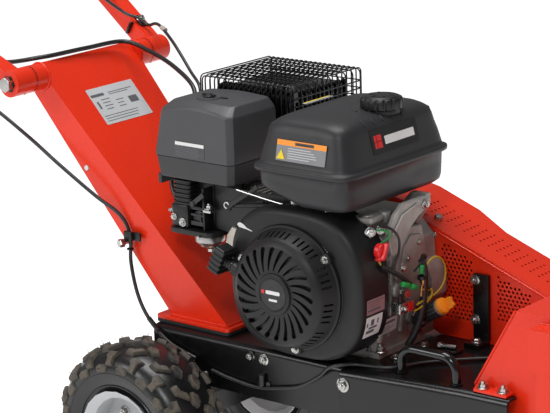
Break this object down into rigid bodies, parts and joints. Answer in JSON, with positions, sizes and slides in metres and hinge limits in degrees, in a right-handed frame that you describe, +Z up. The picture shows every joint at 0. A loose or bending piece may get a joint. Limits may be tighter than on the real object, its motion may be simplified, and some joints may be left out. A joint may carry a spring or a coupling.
{
  "type": "stump grinder",
  "caption": "Walk-behind petrol stump grinder: a toothed cutter wheel under a red hood, belt-driven by an engine on a folded steel chassis with wheels and a tilting handlebar.",
  "frame": {"origin": "on the ground, midway along the machine's length and on its centre line", "axes": "+X forward, towards the cutter; +Y to the left wheel; +Z up"},
  "size_m": [1.82, 0.562, 1.035],
  "materials": {
    "red_paint": "gloss",
    "black_paint": "satin",
    "black_plastic": "matte",
    "grey_plastic": "matte",
    "cast_aluminium": "cast",
    "bright_steel": "satin",
    "rubber": "matte",
    "tyre_rubber": "matte",
    "orange_plastic": "gloss",
    "red_plastic": "gloss"
  },
  "bodies": {
    "chassis": {"rear_chassis": "black_paint", "front_chassis": "black_paint", "column_gasket": "rubber", "column_base_plate": "red_paint", "steering_column": "red_paint", "pivot_bolt": "bright_steel", "axle": "black_paint", "engine_crankcase": "cast_aluminium", "cylinder_block": "cast_aluminium", "blower_housing": "black_plastic", "recoil_cover": "black_plastic", "air_filter_base": "grey_plastic", "air_filter_cover": "grey_plastic", "carburettor": "bright_steel", "carburettor_cover": "black_plastic", "fuel_tank": "black_plastic", "muffler": "black_paint", "muffler_cage": "black_paint", "guard_back_plate": "red_paint", "belt_guard_cover": "red_paint", "guard_bracket": "black_paint", "cutter_housing": "red_paint", "debris_curtain": "rubber", "lift_loop": "black_paint", "spindle_bearing_left": "black_paint", "spindle_bearing_right": "black_paint", "drive_belt": "rubber", "brake_cable_lower": "rubber", "throttle_cable_lower": "rubber", "stop_wire_lower": "rubber", "deck_cable": "rubber"},
    "handlebar": {"handlebar_frame": "red_paint", "grip_left": "rubber", "grip_right": "rubber", "brake_cable_upper": "rubber", "throttle_cable_upper": "rubber", "stop_wire_upper": "rubber"},
    "wheel_left": {"tyre_left": "tyre_rubber", "rim_left": "grey_plastic"},
    "wheel_right": {"tyre_right": "tyre_rubber", "rim_right": "grey_plastic"},
    "stand": {"parking_stand": "black_paint"},
    "crank": {"crankshaft": "bright_steel", "flywheel": "cast_aluminium"},
    "clutch": {"clutch_drum": "bright_steel"},
    "cutter": {"cutter_wheel": "bright_steel", "cutter_spindle": "bright_steel", "driven_pulley": "bright_steel"},
    "pull_handle": {"starter_handle": "black_plastic"},
    "reel": {"starter_reel": "grey_plastic"},
    "tank_cap": {"fuel_cap": "black_plastic"},
    "oil_plug": {"dipstick": "orange_plastic"},
    "switch": {"ignition_switch": "red_plastic"},
    "choke": {"choke_lever": "bright_steel"},
    "filter_knob": {"air_filter_knob": "black_plastic"},
    "wheel_brake": {"brake_arm": "bright_steel"},
    "brake_grip": {"brake_lever": "black_paint"},
    "throttle": {"throttle_lever": "black_plastic"},
    "stop": {"stop_button": "red_plastic"}
  },
  "joints": [
    {"name": "handlebar_tilt", "type": "hinge", "parent": "chassis", "child": "handlebar", "pos_m": [-0.3666, 0, 0.7615], "axis": [0, 1, 0], "range_deg": [-35, 45], "deforming": ["brake_cable_upper", "brake_cable_lower", "throttle_cable_upper", "throttle_cable_lower", "stop_wire_upper", "stop_wire_lower"]},
    {"name": "wheel_left_spin", "type": "hinge", "parent": "chassis", "child": "wheel_left", "pos_m": [-0.081, 0.2, 0.166], "axis": [0, 1, 0], "continuous": true},
    {"name": "wheel_right_spin", "type": "hinge", "parent": "chassis", "child": "wheel_right", "pos_m": [-0.081, -0.2, 0.166], "axis": [0, 1, 0], "continuous": true},
    {"name": "stand_fold", "type": "hinge", "parent": "chassis", "child": "stand", "pos_m": [0.494, 0, 0.262], "axis": [0, 1, 0], "range_deg": [0, 85]},
    {"name": "crank_spin", "type": "hinge", "parent": "chassis", "child": "crank", "pos_m": [0.221, 0, 0.4635], "axis": [0, 1, 0], "continuous": true},
    {"name": "cutter_spin", "type": "hinge", "parent": "chassis", "child": "cutter", "pos_m": [0.742, 0, 0.28], "axis": [0, 1, 0], "continuous": true},
    {"name": "clutch_spin", "type": "hinge", "parent": "chassis", "child": "clutch", "pos_m": [0.221, 0.16, 0.4635], "axis": [0, 1, 0], "continuous": true},
    {"name": "starter_pull", "type": "slide", "parent": "chassis", "child": "pull_handle", "axis": [-0.9135, 0, 0.4067], "range_m": [0, 0.75], "stiffness_N_per_m": 12},
    {"name": "starter_reel_spin", "type": "hinge", "parent": "chassis", "child": "reel", "pos_m": [0.221, -0.164, 0.4635], "axis": [0, 1, 0], "range_deg": [0, 1270]},
    {"name": "fuel_cap_turn", "type": "hinge", "parent": "chassis", "child": "tank_cap", "pos_m": [0.299, 0.02, 0.76], "axis": [0, 0, 1], "range_deg": [0, 110]},
    {"name": "dipstick_turn", "type": "hinge", "parent": "chassis", "child": "oil_plug", "pos_m": [0.401, 0.04, 0.4136], "axis": [0.8572, 0, 0.515], "range_deg": [0, 350]},
    {"name": "ignition_switch_turn", "type": "hinge", "parent": "chassis", "child": "switch", "pos_m": [0.365, -0.086, 0.538], "axis": [1, 0, 0], "range_deg": [0, 60]},
    {"name": "choke_turn", "type": "hinge", "parent": "chassis", "child": "choke", "pos_m": [-0.014, -0.117, 0.571], "axis": [0, 1, 0], "range_deg": [0, 45]},
    {"name": "filter_knob_turn", "type": "hinge", "parent": "chassis", "child": "filter_knob", "pos_m": [-0.018, -0.058, 0.7484], "axis": [0, 0, 1], "range_deg": [0, 350]},
    {"name": "throttle_turn", "type": "hinge", "parent": "handlebar", "child": "throttle", "pos_m": [-0.678, 0.232, 0.949], "axis": [0, 1, 0], "range_deg": [0, 60]},
    {"name": "brake_squeeze", "type": "hinge", "parent": "handlebar", "child": "brake_grip", "pos_m": [-0.77, -0.262, 0.976], "axis": [0, 1, 0], "range_deg": [0, 12], "stiffness_Nm_per_rad": 6},
    {"name": "wheel_brake_turn", "type": "hinge", "parent": "chassis", "child": "wheel_brake", "pos_m": [-0.028, -0.1245, 0.205], "axis": [0, 1, 0], "range_deg": [-10, 0]},
    {"name": "stop_press", "type": "slide", "parent": "handlebar", "child": "stop", "axis": [0, 0, -1], "range_m": [0, 0.004], "stiffness_N_per_m": 400}
  ],
  "couplings": [
    {"joint": "clutch_spin", "follows": "cutter_spin", "ratio": 1.446},
    {"joint": "starter_reel_spin", "follows": "starter_pull", "rad_per_m": 29.412},
    {"joint": "wheel_brake_turn", "follows": "brake_squeeze", "ratio": -0.8}
  ]
}
